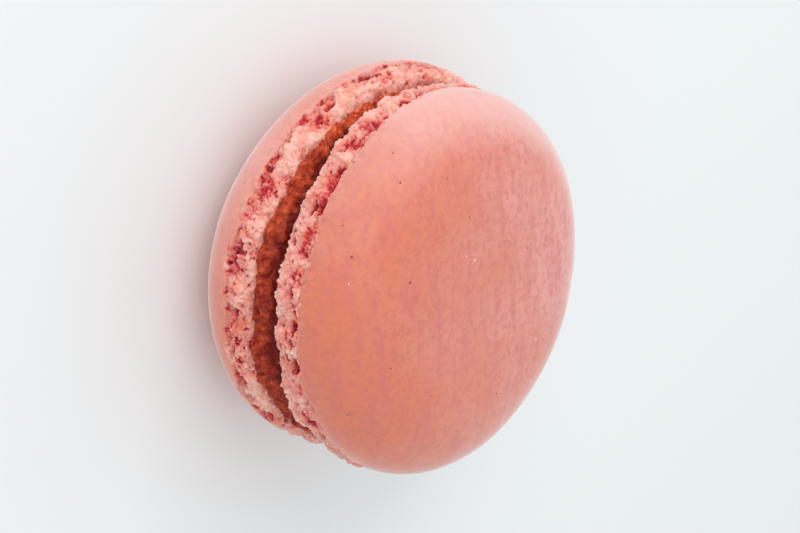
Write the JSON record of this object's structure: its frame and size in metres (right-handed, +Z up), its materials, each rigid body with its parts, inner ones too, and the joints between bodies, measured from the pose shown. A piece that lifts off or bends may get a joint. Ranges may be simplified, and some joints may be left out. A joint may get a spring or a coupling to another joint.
{
  "type": "french macaron",
  "caption": "Round sandwich biscuit of domed almond meringue shells with ruffled feet around a soft filling, lying flat on a crown, with the upper shell a little askew.",
  "frame": {"origin": "on the surface it lies on, under the middle of the lower shell", "axes": "+Z up out of the surface, along the lower shell's axis; +X towards the side where the gap between the shells is widest"},
  "size_m": [0.0478, 0.0477, 0.0283],
  "materials": {
    "shell": "matte smooth meringue crust, crumbly at the foot",
    "filling": "grainy soft paste, slightly glossy"
  },
  "bodies": {
    "root": {"lower_shell": "shell", "filling": "filling", "upper_shell": "shell"}
  },
  "joints": []
}
